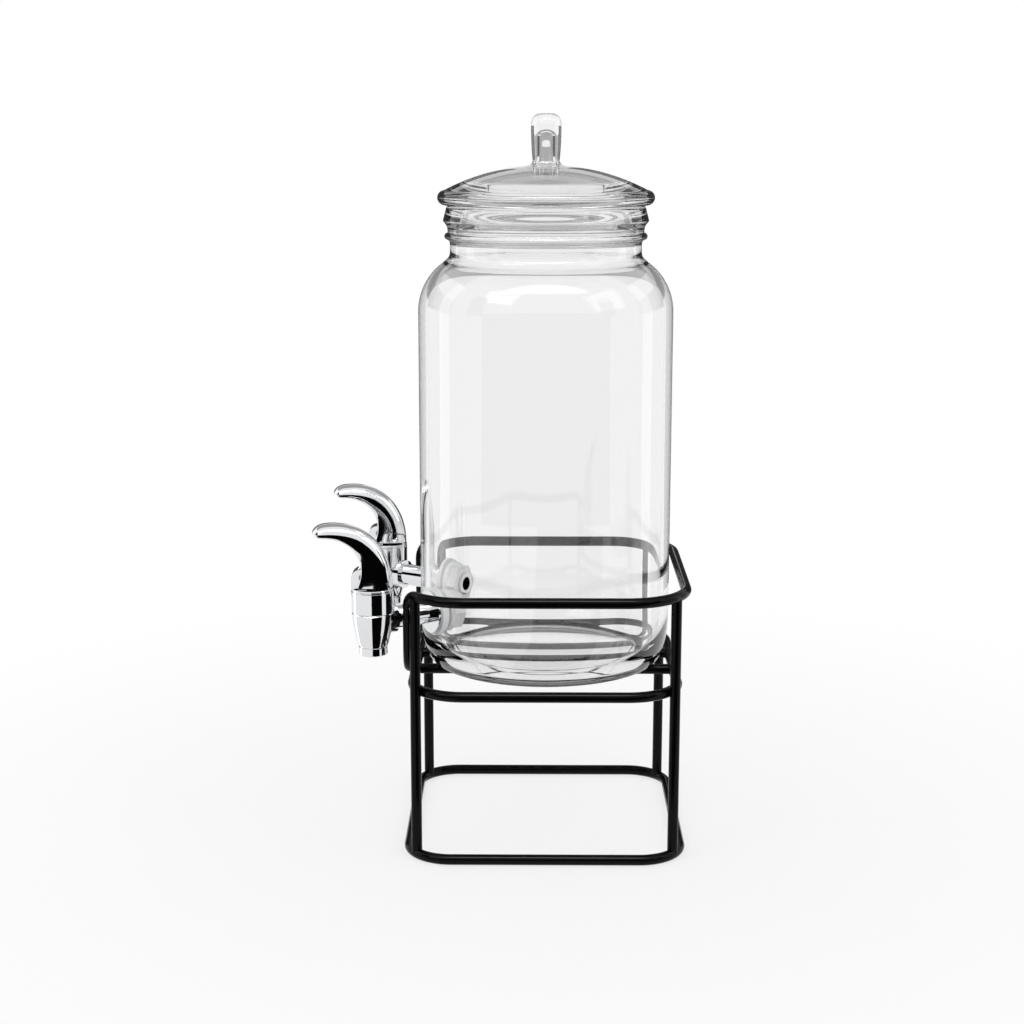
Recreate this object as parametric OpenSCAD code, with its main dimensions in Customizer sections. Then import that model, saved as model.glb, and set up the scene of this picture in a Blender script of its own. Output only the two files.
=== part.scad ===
// Glass drinks dispenser with two lever taps on a black wire stand.
// Millimetres, real size. +Z is up, the taps face -Y, the floor is Z = 0.
// The origin is the middle of the stand on the floor.

/* [Stand] */
// Diameter of the steel wire
wire_d = 7.4; // [5:0.1:10]
// Seat ring, height of the wire's middle
seat_z = 120.8; // [60:0.1:200]
// Room between the jar and the guard's side rails
guard_gap_x = 6.3; // [2:0.1:15]
// Room between the jar and the guard's back rail
guard_gap_y = 4.3; // [2:0.1:15]
// Guard rail, height of the wire's middle
guard_z = 189.5; // [120:0.5:260]
// Legs, distance inside the guard rail along X
leg_in_x = 18; // [8:0.5:30]
// Legs, distance inside the guard rail along Y
leg_in_y = 8.2; // [4:0.1:20]
// Stand-out of the base ring beyond the legs along X
base_out_x = 12; // [6:0.5:20]
// Stand-out of the base ring beyond the legs along Y
base_out_y = 6.2; // [3:0.1:12]
// Stand-out of the seat ring beyond the legs along X
seat_out_x = 9.4; // [6:0.1:16]
// Stand-out of the seat ring beyond the legs along Y
seat_out_y = 3.2; // [2:0.1:8]
// Depth of the weld between a leg and the seat ring
weld_bite = 1; // [0.4:0.1:2]
// Crossbars under the jar, distance from the middle along X
crossbar_x = 21; // [15:0.5:50]
// Bend radius at the top of the drop
drop_bend_r = 9; // [6:0.5:16]
// Bend radius at the foot of the drop
dip_bend_r = 14; // [8:0.5:24]
// Height of the dip that lets the taps in
dip_z = 135; // [130:0.5:150]

/* [Jar] */
// Outer radius of the jar
jar_r = 90; // [70:0.5:120]
// Wall thickness
jar_wall = 6; // [3:0.5:10]
// Floor thickness
jar_floor = 5.5; // [5:0.5:14]
// Jar height from its foot to its mouth
jar_h = 326.7; // [220:0.1:420]
// Width of the rounded heel
heel_w = 11; // [8:0.5:35]
// Height of the rounded heel
heel_h = 35; // [10:0.5:50]
// Radius of the shoulder
shoulder_r = 42; // [20:0.5:60]
// Outer radius of the neck
neck_r = 67.3; // [50:0.1:85]
// Height of the neck above the shoulder's centre
neck_h = 74.2; // [50:0.1:110]
// Stand-out of the neck bead
bead_out = 3.9; // [1:0.1:6]
// Stand-out of the band under the mouth
band_out = 4.8; // [1:0.1:7]

/* [Lid] */
// Outer radius of the lid's rim
lid_r = 76; // [60:0.5:95]
// Thickness of the rolled rim
lid_rim_d = 10.1; // [6:0.1:14]
// Radius of the dome
dome_r = 155; // [100:1:300]
// Thickness of the dome
dome_wall = 5; // [3:0.5:8]
// Radius of the knob
knob_r = 10.6; // [7:0.1:16]
// Height of the lid and knob above the jar's mouth
lid_h = 62.8; // [45:0.1:90]
// Radius of the knob's hollow
knob_bore_r = 4.9; // [2:0.1:7]
// Depth of the collar that hangs in the mouth
lid_collar_h = 14; // [6:0.5:25]

/* [Taps] */
// Angle of each tap from the front
tap_angle = 31.2; // [20:0.1:45]
// Distance from the jar's axis to the spout's axis
tap_reach = 139.5; // [120:0.5:170]
// Height of the shank's axis above the floor
tap_z = 170.5; // [150:0.5:200]
// Shank radius
shank_r = 8; // [6:0.1:10]
// Bore radius of the shank
shank_bore_r = 5; // [3:0.1:6]
// Widest radius of the tap body
body_r = 14.4; // [12:0.1:20]
// Radius of the nozzle's lip
lip_r = 9.9; // [7:0.1:13]
// Radius of the outlet
outlet_r = 6.3; // [4:0.1:8]
// Radius of the valve chamber
chamber_r = 10.5; // [8:0.1:12]
// Depth of the outlet below the shank's axis
lip_z = 24.2; // [18:0.1:35]
// Height of the seam above the shank's axis
seam_z = 5.9; // [4:0.1:10]
// Bonnet radius
bonnet_r = 14.6; // [12:0.1:20]
// Bonnet height
bonnet_h = 17.3; // [12:0.1:24]
// Radius of the outer washer
washer_r = 17; // [12:0.5:22]
// Thickness of the washers beside the glass
washer_t = 3; // [1.5:0.5:5]
// Clamp nut, size across its flats
nut_af = 24; // [19:0.5:32]
// Clamp nut thickness
nut_t = 8; // [5:0.5:12]

/* [Levers] */
// Turn of the lever away from straight ahead, degrees outward
lever_yaw = 0; // [-20:1:31]
// Reach of the lever's tip in front of the spout's axis
lever_reach = 40.5; // [30:0.5:55]
// Height of the lever's tip above the bonnet
lever_tip_z = 38.8; // [20:0.1:50]
// Half depth of the lever at its foot
lever_foot = 12.6; // [9:0.1:15]
// Half thickness of the lever near its tip
lever_end = 4.3; // [3:0.1:7]
// Half width of the lever
lever_half_w = 10; // [7:0.1:13]
// Wall of the hollow lever
lever_wall = 2.2; // [1.5:0.1:3]
// Room between the lever's foot and the bonnet
foot_gap = 1.3; // [0.6:0.1:2]
// Pivot, distance in front of the spout's axis
pivot_y = 7; // [5:0.1:10]
// Pivot, height above the bonnet
pivot_z = 8.4; // [6:0.1:12]
// Radius of the pivot pin
pivot_r = 1.6; // [1:0.1:2.5]

/* [Valve] */
// Radius of the valve stem
stem_r = 3; // [2:0.1:4]
// Radius of the cross pin in the stem
cross_r = 1.5; // [0.8:0.1:2]
// Radius of the silicone seat cup
cup_r = 8.6; // [7:0.1:10]
// Height of the seat cup
cup_h = 6.4; // [4:0.1:8]
// Wire diameter of the return spring
spring_wire = 1; // [0.6:0.1:1.4]
// Mean radius of the return spring
spring_r = 5; // [4:0.1:7]
// Number of turns of the return spring
spring_turns = 5; // [3:1:8]

/* [Fits] */
// Radial play of a pin or stem that runs in a hole
run_fit = 0.06; // [0.02:0.01:0.1]
// Play between surfaces that move past each other
move_gap = 0.4; // [0.3:0.05:1]
// Play under a piece that only rests on another
rest_gap = 0.05; // [0:0.01:0.3]
// Play round the shank in the jar's hole
hole_gap = 0.5; // [0.2:0.1:1.5]

/* [Hidden] */
$fn = 64;
glass_fn = 240;
wire_r = wire_d / 2;
base_z = wire_r;

// Corner radius of a ring whose wire runs at distance t inside a leg, to 0.01 mm.
function corner_r(a, b, t) =
  let (s = a + b + t) round(100 * (s + sqrt(s * s - a * a - b * b + t * t))) / 100;

// Half sizes of the rings to the wire's middle, and the legs' places.
guard_half_x = jar_r + guard_gap_x + wire_r;
guard_half_y = jar_r + guard_gap_y + wire_r;
leg_x = guard_half_x - leg_in_x;
leg_y = guard_half_y - leg_in_y;
base_half_x = leg_x + base_out_x;
base_half_y = leg_y + base_out_y;
seat_half_x = leg_x + seat_out_x;
seat_half_y = leg_y + seat_out_y;
base_r = corner_r(base_out_x, base_out_y, 0);
seat_r = corner_r(seat_out_x, seat_out_y, wire_d - weld_bite);
guard_r = corner_r(leg_in_x, leg_in_y, 0);

// Turn of the guard's front corners before they drop: a 3-4-5 slope.
guard_arc = atan2(4, 3);
// Point where such a corner ends, its direction and its drop.
arc_end = [guard_half_x - guard_r + guard_r * cos(guard_arc),
           -(guard_half_y - guard_r) - guard_r * sin(guard_arc)];
arc_dir = [-sin(guard_arc), -cos(guard_arc)];
drop_at = arc_end + drop_bend_r * arc_dir;

// Jar: heights below are from its foot.
jar_z = seat_z + wire_r + rest_gap;
flat_r = jar_r - heel_w;
// The hollow is rounded more than the outside, so the glass is thick at the heel.
heel_in = heel_w + 5;
floor_r = jar_r - jar_wall - heel_in;
shoulder_x = jar_r - shoulder_r;
shoulder_z = jar_h - neck_h;
neck_in_r = neck_r - jar_wall + 0.6;
bead_r = 2.3;
bead_z = jar_h - 21.5;
pinch_z = jar_h - 14.5;
band_z = jar_h - 10.3;
mouth_z = jar_z + jar_h;

// Lid: heights below are from the jar's mouth.
rim_r = lid_rim_d / 2;
rim_z = rest_gap + rim_r;
dome_edge_r = lid_r - 3.5;
dome_edge_z = rest_gap + lid_rim_d - 0.6;
dome_c = dome_edge_z - sqrt(dome_r * dome_r - dome_edge_r * dome_edge_r);
collar_out_r = neck_in_r - 1.8;
collar_in_r = collar_out_r - 4;

// Tap: heights below are from the shank's axis.
glass_y = tap_reach - jar_r;
inside_y = glass_y + jar_wall;
shank_end = inside_y + washer_t + 1.5 + nut_t + 2;
seat_face = -9;
neck_top = seam_z + 8;
cap_z = seam_z + bonnet_h;
cap_t = 3.5;
body_neck_r = chamber_r + 2.4;
// Ear and pins between and in the walls of the lever's fork.
ear_t = 2 * (lever_half_w - 1.2 - lever_wall - move_gap);
pin_half = lever_half_w - 1;

// Valve heights, from the shank's axis.
cup_z = seat_face + rest_gap;
stem_low = cup_z + 3.5;
stem_top = cap_z + pivot_z + 3.6;
flange_z = 1.6;
flange_t = 1.6;
spring_low = flange_z + flange_t + spring_wire / 2;
spring_high = cap_z - cap_t - spring_wire / 2;
spring_pitch = (spring_high - spring_low) / spring_turns;
echo("least gap between the spring's turns", spring_pitch - spring_wire);

function arc(c, rx, ry, a0, a1, n) =
  [for (i = [0:n]) let (a = a0 + (a1 - a0) * i / n) c + [rx * cos(a), ry * sin(a)]];

function curve(p, q, r, n) =
  [for (i = [0:n]) let (t = i / n) (1 - t) * (1 - t) * p + 2 * t * (1 - t) * q + t * t * r];

// Wire pieces
module bend(r, angle) {
  rotate_extrude(angle = angle)
    translate([r, 0])
      circle(d = wire_d);
}

module rail_x(half, y) {
  translate([-half, y, 0])
    rotate([0, 90, 0])
      cylinder(d = wire_d, h = 2 * half);
}

module rail_y(half, x) {
  translate([x, -half, 0])
    rotate([-90, 0, 0])
      cylinder(d = wire_d, h = 2 * half);
}

module corner(hx, hy, r, quarter) {
  sx = quarter == 0 || quarter == 3 ? 1 : -1;
  sy = quarter < 2 ? 1 : -1;
  translate([sx * (hx - r), sy * (hy - r), 0])
    rotate([0, 0, 90 * quarter])
      bend(r, 90);
}

module closed_ring(hx, hy, r) {
  for (s = [-1, 1]) {
    rail_x(hx - r, s * hy);
    rail_y(hy - r, s * hx);
  }
  for (q = [0:3]) corner(hx, hy, r, q);
}

module leg_rod(sx, sy) {
  translate([sx * leg_x, sy * leg_y, base_z + 0.8])
    cylinder(d = wire_d, h = guard_z - base_z - 1.6);
}

module base_form() {
  translate([0, 0, base_z])
    closed_ring(base_half_x, base_half_y, base_r);
}

module seat_form() {
  translate([0, 0, seat_z])
    closed_ring(seat_half_x, seat_half_y, seat_r);
}

// The right half of the guard's open side: corner, drop and foot.
module guard_drop() {
  translate([guard_half_x - guard_r, -(guard_half_y - guard_r), guard_z])
    difference() {
      rotate([0, 0, -90]) bend(guard_r, 90);
      rotate([0, 0, -guard_arc])
        translate([0, -2 * guard_r, -wire_d])
          cube([2 * guard_r, 2 * guard_r, 2 * wire_d]);
    }
  translate([arc_end[0], arc_end[1], guard_z - drop_bend_r])
    rotate([90, 0, atan2(arc_dir[1], arc_dir[0])])
      bend(drop_bend_r, 90);
  translate([drop_at[0], drop_at[1], dip_z + dip_bend_r])
    cylinder(d = wire_d, h = guard_z - drop_bend_r - dip_z - dip_bend_r);
  translate([drop_at[0] - dip_bend_r, drop_at[1], dip_z + dip_bend_r])
    rotate([-90, 0, 0])
      bend(dip_bend_r, 90);
}

module guard_form() {
  translate([0, 0, guard_z]) {
    rail_x(guard_half_x - guard_r, guard_half_y);
    for (s = [-1, 1]) rail_y(guard_half_y - guard_r, s * guard_half_x);
    for (q = [0:1]) corner(guard_half_x, guard_half_y, guard_r, q);
  }
  guard_drop();
  mirror([1, 0, 0]) guard_drop();
  translate([0, 0, dip_z])
    rail_x(drop_at[0] - dip_bend_r, drop_at[1]);
}

// The rings are notched where the legs are welded in.
module legs() {
  for (sx = [-1, 1]) for (sy = [-1, 1]) leg_rod(sx, sy);
}

module base_ring() {
  color([0.05, 0.05, 0.05])
    difference() {
      base_form();
      legs();
    }
}

module guard_rail() {
  color([0.05, 0.05, 0.05])
    difference() {
      guard_form();
      legs();
    }
}

module seat_ring() {
  color([0.05, 0.05, 0.05])
    difference() {
      seat_form();
      legs();
    }
}

module leg(sx, sy) {
  color([0.05, 0.05, 0.05]) leg_rod(sx, sy);
}

module crossbar(side) {
  color([0.05, 0.05, 0.05])
    difference() {
      translate([0, 0, seat_z]) rail_y(seat_half_y - 0.8, side * crossbar_x);
      seat_form();
    }
}

// Jar
module jar_outside() {
  edge = acos((neck_r - shoulder_x) / shoulder_r);
  rotate_extrude($fn = glass_fn)
    polygon(concat(
      [[0, 2], [flat_r - 10, 2], [flat_r - 6, 0]],
      arc([flat_r, heel_h], heel_w, heel_h, -90, 0, 14),
      arc([shoulder_x, shoulder_z], shoulder_r, shoulder_r, 0, edge - 7, 12),
      [[neck_r + 0.7, shoulder_z + shoulder_r * sin(edge) + 0.9],
       [neck_r + 0.1, shoulder_z + shoulder_r * sin(edge) + 3.4],
       [neck_r, shoulder_z + shoulder_r * sin(edge) + 6],
       [neck_r, bead_z - bead_r - 1.5],
       [neck_r + bead_out - bead_r, bead_z - bead_r]],
      arc([neck_r + bead_out - bead_r, bead_z], bead_r, bead_r, -60, 60, 6),
      [[neck_r + bead_out - bead_r, bead_z + bead_r],
       [neck_r + 1.6, bead_z + bead_r + 1.4],
       [neck_r + 2, pinch_z]],
      arc([neck_r + band_out - 2, band_z], 2, 2, -50, 0, 3),
      arc([neck_r + band_out - 5, jar_h - 3], 3, 3, 0, 90, 5),
      [[0, jar_h]]));
}

module jar_hollow() {
  edge = acos((neck_in_r - shoulder_x) / (shoulder_r - jar_wall));
  in_shoulder = shoulder_r - jar_wall;
  rotate_extrude($fn = glass_fn)
    polygon(concat(
      [[0, jar_floor]],
      arc([floor_r, heel_h], heel_in, heel_h - jar_floor, -90, 0, 14),
      arc([shoulder_x, shoulder_z], in_shoulder, in_shoulder, 0, edge - 6, 12),
      [[neck_in_r + 0.2, shoulder_z + in_shoulder * sin(edge) + 3],
       [neck_in_r, shoulder_z + in_shoulder * sin(edge) + 6],
       [neck_in_r, jar_h - 2.5]],
      [for (a = [60, 30, 0]) [neck_in_r + 2.5 - 2.5 * sin(a), jar_h - 2.5 + 2.5 * cos(a)]],
      [[neck_in_r + 2.5, jar_h + 1], [0, jar_h + 1]]));
}

module glass_jar() {
  color([0.8, 0.88, 0.88, 0.4])
    difference() {
      translate([0, 0, jar_z])
        difference() {
          jar_outside();
          jar_hollow();
        }
      for (s = [-1, 1]) at_tap(s) shank_rod(shank_r + hole_gap, glass_y - 6, inside_y + 6);
    }
}

// Lid with its hollow knob, one piece of glass
module lid() {
  under_r = dome_r - dome_wall;
  foot = dome_c + dome_r;
  color([0.8, 0.88, 0.88, 0.4])
    translate([0, 0, mouth_z])
      difference() {
        union() {
          rotate_extrude()
            translate([lid_r - rim_r, rim_z])
              circle(r = rim_r);
          rotate_extrude()
            polygon(concat(
              [for (i = [0:10]) let (x = collar_in_r * i / 10)
                [x, dome_c + sqrt(under_r * under_r - x * x)]],
              [[collar_in_r + 1, -lid_collar_h + 1], [collar_in_r + 2, -lid_collar_h],
               [collar_out_r - 1, -lid_collar_h], [collar_out_r, -lid_collar_h + 1],
               [collar_out_r, rest_gap], [lid_r - rim_r, rest_gap]],
              [for (i = [0:14]) let (x = dome_edge_r * (1 - i / 14))
                [x, dome_c + sqrt(dome_r * dome_r - x * x)]]));
          rotate_extrude()
            polygon(concat(
              [[0, foot - 4], [knob_r + 2.6, foot - 2]],
              arc([knob_r + 2.6, foot + 3.2], 3.8, 3.8, -90, -180, 6),
              [[knob_r - 0.6, foot + 9], [knob_r, lid_h - 14]],
              arc([knob_r - 6.5, lid_h - 8], 6.5, 8, 0, 90, 8),
              [[0, lid_h]]));
        }
        translate([0, 0, foot - dome_wall - 3]) cylinder(r = knob_bore_r, h = lid_h - foot - 8);
        translate([0, 0, foot - dome_wall - 1])
          cylinder(r1 = knob_r - 1, r2 = knob_bore_r, h = 8);
        translate([0, 0, lid_h - dome_wall - 11]) sphere(r = knob_bore_r);
      }
}

// Places: a tap's frame is radial, a tap head's frame is turned by the lever's yaw.
module at_tap(side) {
  rotate([0, 0, side * tap_angle])
    translate([0, -tap_reach, tap_z])
      children();
}

module at_head(side) {
  translate([side * tap_reach * sin(tap_angle), -tap_reach * cos(tap_angle), tap_z + cap_z])
    rotate([0, 0, side * lever_yaw])
      children();
}

module shank_rod(r, y0, y1) {
  translate([0, y0, 0])
    rotate([-90, 0, 0])
      cylinder(r = r, h = y1 - y0);
}

// Tap body: spout, valve chamber and shank in one casting
module tap_body(side) {
  color([0.8, 0.8, 0.82])
    at_tap(side)
      difference() {
        union() {
          rotate_extrude()
            polygon(concat(
              [[0, -lip_z], [lip_r - 0.5, -lip_z], [lip_r, -lip_z + 0.6],
               [lip_r, seat_face - 9.6], [lip_r - 0.6, seat_face - 9.2],
               [lip_r - 0.6, seat_face - 8.6]],
              curve([lip_r + 0.5, seat_face - 8.2], [body_r - 1, seat_face + 2],
                    [body_r, seam_z - 0.6], 10),
              [[body_r - 0.5, seam_z], [body_neck_r, seam_z], [body_neck_r, neck_top],
               [0, neck_top]]));
          difference() {
            union() {
              shank_rod(shank_r + 2.6, 0, body_r + 1.5);
              shank_rod(shank_r, 0, shank_end);
            }
            translate([0, 0, seam_z]) cylinder(r = bonnet_r + hole_gap, h = bonnet_h);
          }
          shank_rod(washer_r - 2, glass_y - washer_t - 2.5, glass_y - washer_t);
        }
        translate([0, 0, seat_face]) cylinder(r = chamber_r, h = neck_top - seat_face + 1);
        translate([0, 0, -lip_z - 1]) cylinder(r = outlet_r, h = lip_z);
        shank_rod(shank_bore_r, 0, shank_end + 1);
      }
}

// Screwed bonnet with the ear that carries the lever
module bonnet(side) {
  ear_r = (bonnet_r - 0.5 - cross_r - move_gap) / 2;
  ear_y = -(bonnet_r - 0.5 - ear_r);
  color([0.8, 0.8, 0.82]) {
    difference() {
      union() {
        at_tap(side)
          difference() {
            rotate_extrude()
              polygon([[0, seam_z], [bonnet_r - 0.5, seam_z], [bonnet_r, seam_z + 0.6],
                       [bonnet_r, cap_z - 2.4], [bonnet_r - 0.5, cap_z - 2],
                       [bonnet_r - 0.5, cap_z - 1.5], [bonnet_r - 0.1, cap_z - 1.1],
                       [bonnet_r - 0.1, cap_z - 0.5], [bonnet_r - 0.6, cap_z], [0, cap_z]]);
            translate([0, 0, seam_z - 1]) cylinder(r = body_neck_r, h = neck_top - seam_z + 1.1);
            translate([0, 0, seam_z]) cylinder(r = spring_r + 3, h = bonnet_h - cap_t);
            translate([0, 0, cap_z - cap_t - 1]) cylinder(r = stem_r + run_fit, h = cap_t + 2);
          }
        at_head(side)
          translate([-ear_t / 2, 0, 0])
            rotate([90, 0, 90])
              linear_extrude(ear_t)
                union() {
                  translate([ear_y, 7.5]) circle(r = ear_r);
                  translate([ear_y - ear_r, -0.5]) square([ear_r + 4.6, 8]);
                }
      }
      at_head(side) cross_rod(pivot_r + run_fit, -pivot_y, ear_t, ear_t);
      at_head(side) translate([0, 0, -0.5]) cylinder(r = stem_r + move_gap, h = 20);
    }
  }
}

// Rod along X in a tap head's frame
module cross_rod(r, y, left, right) {
  translate([-left, y, pivot_z])
    rotate([0, 90, 0])
      cylinder(r = r, h = left + right);
}

// Lever: a hollow channel, lofted along a curve from its forked foot to its rounded tip
lever_path = [[1.5, -1.5], [5, 21.5], [-12.5, lever_tip_z + 5.2], [-lever_reach, lever_tip_z]];
lever_body = 0.9;
lever_steps = concat([for (i = [0:18]) lever_body * i / 18],
                     [for (k = [1:5]) lever_body + (1 - lever_body) * sin(15 * k)]);
rim_angle = 38;
lever_sides = 20;

function path_at(s) = let (p = lever_path, t = 1 - s)
  t * t * t * p[0] + 3 * t * t * s * p[1] + 3 * t * s * s * p[2] + s * s * s * p[3];

function path_way(s) = let (p = lever_path, t = 1 - s,
  d = t * t * (p[1] - p[0]) + 2 * t * s * (p[2] - p[1]) + s * s * (p[3] - p[2])) d / norm(d);

function tip_round(s) = s <= lever_body ? 1 : sqrt(1 - pow((s - lever_body) / (1 - lever_body), 2));

function half_depth(s) = tip_round(s) * (lever_foot + (lever_end - lever_foot) * s);

function half_width(s) = (0.35 + 0.65 * tip_round(s))
  * (lever_half_w - 1.4 * pow(sin(180 * min(1, s / 0.85)), 2));

// A section is boxy at the foot and turns round on its way to the tip
function roundness(s) = 0.5 + 0.2 * (1 - cos(180 * min(1, max(0, (s - 0.12) / 0.45))));

function round_part(s, v) = sign(v) * pow(abs(v), roundness(s));

// Point of the section at s: u across the lever, v from its open side to its crown
function on_section(s, u, v) = let (c = path_at(s), w = path_way(s))
  [u, c[0] + v * w[1], c[1] - v * w[0]];

// The hollow under the lever runs out smoothly before the tip
function hollow_part(s) = (1 + cos(180 * min(1, max(0, (s - 0.6) / 0.26)))) / 2;

// One section: over the crown from rim to rim, then back along the hollow
function lever_ring(s) =
  let (h = half_depth(s), w = half_width(s), roll = min(3, 0.7 * h), mid = roll - h,
       rim = mid - roll * round_part(s, sin(rim_angle)), n = lever_sides)
  concat(
    [for (j = [0:n]) let (a = -rim_angle + (180 + 2 * rim_angle) * j / n)
      on_section(s, w * round_part(s, cos(a)),
                 mid + (sin(a) > 0 ? 2 * h - roll : roll) * round_part(s, sin(a)))],
    [for (j = [0:n]) let (b = 180 - 180 * j / n)
      on_section(s, (w - lever_wall) * round_part(s, cos(b)),
                 rim + max(0.25, (h - lever_wall - rim) * hollow_part(s)) * round_part(s, sin(b)))]);

module lever_form() {
  rings = [for (s = lever_steps) lever_ring(s)];
  n = len(rings[0]);
  last = len(rings) - 1;
  sides = [for (i = [0:last - 1]) for (j = [0:n - 1]) let (k = (j + 1) % n)
    [i * n + j, (i + 1) * n + j, (i + 1) * n + k, i * n + k]];
  ends = [for (j = [0:n / 2 - 2]) each [
    [j, j + 1, n - 2 - j, n - 1 - j],
    [last * n + n - 1 - j, last * n + n - 2 - j, last * n + j + 1, last * n + j]]];
  polyhedron(points = [for (ring = rings) each ring], faces = concat(sides, ends));
}

module lever(side) {
  color([0.8, 0.8, 0.82])
    at_head(side)
      difference() {
        lever_form();
        translate([-20, -30, foot_gap - 20]) cube([40, 60, 20]);
        cross_rod(pivot_r, -pivot_y, 20, pin_half);
        translate([-pin_half, -cross_r - move_gap, pivot_z - cross_r - move_gap])
          cube([2 * pin_half, 2 * cross_r + 2 * move_gap + 1, 2 * cross_r + 2 * move_gap]);
      }
}

module lever_pin(side) {
  color([0.6, 0.6, 0.62])
    at_head(side) cross_rod(pivot_r, -pivot_y, pin_half, pin_half);
}

// Valve: stem, its cross pin, the silicone cup and the return spring
module valve_stem(side) {
  color([0.6, 0.6, 0.62])
    difference() {
      at_tap(side) {
        translate([0, 0, stem_low]) cylinder(r = stem_r, h = stem_top - stem_low);
        translate([0, 0, flange_z]) cylinder(r = spring_r + 1.6, h = flange_t);
      }
      at_head(side) cross_rod(cross_r, 0, stem_r + 1, stem_r + 1);
    }
}

module stem_pin(side) {
  color([0.6, 0.6, 0.62])
    at_head(side) cross_rod(cross_r, 0, pin_half - 0.3, pin_half - 0.3);
}

module seat_cup(side) {
  color([0.9, 0.9, 0.9])
    at_tap(side)
      difference() {
        translate([0, 0, cup_z])
          rotate_extrude()
            polygon([[0, 0], [cup_r - 0.6, 0], [cup_r, 0.6], [cup_r, 2.4],
                     [stem_r + 2, cup_h], [0, cup_h]]);
        translate([0, 0, stem_low]) cylinder(r = stem_r, h = cup_h);
      }
}

module return_spring(side) {
  n = 8;
  rings = spring_turns * 18;
  points = [for (i = [0:rings]) for (j = [0:n - 1])
    let (t = 360 * spring_turns * i / rings, a = 360 * j / n,
         q = spring_r + spring_wire / 2 * cos(a))
    [q * cos(t), q * sin(t),
     spring_low + spring_pitch * t / 360 + spring_wire / 2 * sin(a)]];
  sides = [for (i = [0:rings - 1]) for (j = [0:n - 1]) let (k = (j + 1) % n)
    [i * n + j, i * n + k, (i + 1) * n + k, (i + 1) * n + j]];
  ends = [[for (j = [0:n - 1]) n - 1 - j], [for (j = [0:n - 1]) rings * n + j]];
  color([0.6, 0.6, 0.62])
    at_tap(side) polyhedron(points = points, faces = concat(sides, ends));
}

// Washers cut to the curve of the glass, and the nut inside the jar
module outer_washer(side) {
  color([0.92, 0.92, 0.92])
    difference() {
      at_tap(side) shank_rod(washer_r, glass_y - washer_t, glass_y + 3);
      translate([0, 0, jar_z]) jar_outside();
      at_tap(side) shank_rod(shank_r, 0, shank_end);
    }
}

module inner_washer(side) {
  color([0.92, 0.92, 0.92])
    difference() {
      intersection() {
        at_tap(side) shank_rod(washer_r - 2, glass_y, inside_y + washer_t + 1.5);
        translate([0, 0, jar_z]) jar_hollow();
      }
      at_tap(side) shank_rod(shank_r, 0, shank_end);
    }
}

module clamp_nut(side) {
  y0 = inside_y + washer_t + 1.5;
  color([0.92, 0.92, 0.92])
    at_tap(side)
      difference() {
        translate([0, y0, 0])
          rotate([-90, 0, 0])
            cylinder(r = nut_af / sqrt(3), h = nut_t, $fn = 6);
        shank_rod(shank_r, 0, shank_end);
      }
}

guard_rail();
seat_ring();
base_ring();
leg(1, -1);  // leg_front_right
leg(-1, -1);  // leg_front_left
leg(1, 1);  // leg_back_right
leg(-1, 1);  // leg_back_left
crossbar(1);  // crossbar_right
crossbar(-1);  // crossbar_left
glass_jar();
lid();
tap_body(1);  // tap_body_right
tap_body(-1);  // tap_body_left
bonnet(1);  // bonnet_right
bonnet(-1);  // bonnet_left
lever(1);  // lever_right
lever(-1);  // lever_left
lever_pin(1);  // lever_pin_right
lever_pin(-1);  // lever_pin_left
valve_stem(1);  // valve_stem_right
valve_stem(-1);  // valve_stem_left
stem_pin(1);  // stem_pin_right
stem_pin(-1);  // stem_pin_left
seat_cup(1);  // seat_cup_right
seat_cup(-1);  // seat_cup_left
return_spring(1);  // return_spring_right
return_spring(-1);  // return_spring_left
outer_washer(1);  // outer_washer_right
outer_washer(-1);  // outer_washer_left
inner_washer(1);  // inner_washer_right
inner_washer(-1);  // inner_washer_left
clamp_nut(1);  // clamp_nut_right
clamp_nut(-1);  // clamp_nut_left
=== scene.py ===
"""Looks of the glass drinks dispenser: clear glass, chrome taps, black enamelled wire stand."""

import math

import bpy
from mathutils import Matrix, Vector


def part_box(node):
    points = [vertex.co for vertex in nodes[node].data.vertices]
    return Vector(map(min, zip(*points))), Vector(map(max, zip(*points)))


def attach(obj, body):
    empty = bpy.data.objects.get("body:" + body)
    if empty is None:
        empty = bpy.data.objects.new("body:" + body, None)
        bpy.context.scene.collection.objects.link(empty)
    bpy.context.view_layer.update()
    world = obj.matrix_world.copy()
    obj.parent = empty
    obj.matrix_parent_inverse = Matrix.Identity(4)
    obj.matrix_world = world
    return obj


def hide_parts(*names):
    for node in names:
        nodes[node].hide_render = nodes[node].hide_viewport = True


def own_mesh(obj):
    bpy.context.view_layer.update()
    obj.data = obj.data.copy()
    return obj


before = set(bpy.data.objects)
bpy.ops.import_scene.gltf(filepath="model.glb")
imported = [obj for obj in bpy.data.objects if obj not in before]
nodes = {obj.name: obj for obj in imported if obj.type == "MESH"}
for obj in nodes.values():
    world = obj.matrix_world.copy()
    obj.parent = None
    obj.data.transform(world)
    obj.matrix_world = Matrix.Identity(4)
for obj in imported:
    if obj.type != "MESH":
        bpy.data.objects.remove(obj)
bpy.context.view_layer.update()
MM = 0.001


def box_mm(node):
    """Lowest and highest corner of a CAD node, to the nearest hundredth of a millimetre."""
    return [[round(c / MM, 2) for c in corner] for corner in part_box(node)]


# Camera of the photograph, fitted to the rings, legs, neck and taps: metres, lens in millimetres
CAMERA_AT = (1.3189, -0.0111, 0.5009)
CAMERA_LOOK = (-0.9798, -0.0094, -0.1997)
CAMERA_LENS = 65.49
CAMERA_SENSOR = 36.0

# Jar, in millimetres above its foot, with its box from the CAD node
jar_low, jar_high = box_mm("glass_jar")
JAR_Z, MOUTH_Z = jar_low[2], jar_high[2]
JAR_R, JAR_H = jar_high[0], MOUTH_Z - JAR_Z
JAR_WALL, JAR_FLOOR = 6.0, 5.5
WALL_STEPS = 6

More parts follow.
